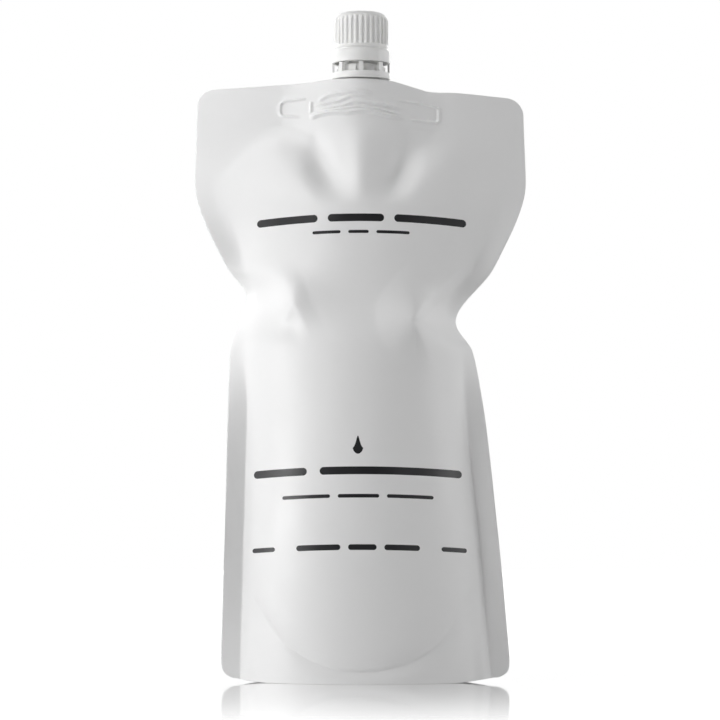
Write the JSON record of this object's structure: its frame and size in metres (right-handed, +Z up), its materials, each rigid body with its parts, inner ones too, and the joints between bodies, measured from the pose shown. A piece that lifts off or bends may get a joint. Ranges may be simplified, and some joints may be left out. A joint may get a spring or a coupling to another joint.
{
  "type": "hand soap refill pouch",
  "caption": "White stand-up film pouch full of liquid soap, pinched at the waist, with flat side seals, a gusset foot and a welded pour spout under a fluted screw cap.",
  "frame": {"origin": "middle of the foot, on the surface that the pouch stands on, below the middle of its box", "axes": "+Z up along the spout, +X to the right of the front, front towards -Y"},
  "size_m": [0.132, 0.0526, 0.2643],
  "materials": {
    "film": "white laminate film, soft satin",
    "spout": "moulded polyethylene",
    "cap": "moulded polyethylene, satin"
  },
  "bodies": {
    "pack": {"pouch": "film", "spout": "spout"},
    "band": {"tamper_band": "cap"},
    "screw_cap": {"cap": "cap"}
  },
  "joints": [
    {"name": "cap_turn", "type": "hinge", "parent": "pack", "child": "band", "pos_m": [0, 0, 0.24], "axis": [0, 0, 1], "range_deg": [0, 720]},
    {"name": "cap_lift", "type": "slide", "parent": "band", "child": "screw_cap", "axis": [0, 0, 1], "range_m": [0, 0.007]}
  ],
  "couplings": [
    {"joint": "cap_lift", "follows": "cap_turn", "m_per_rad": 0.000557}
  ]
}
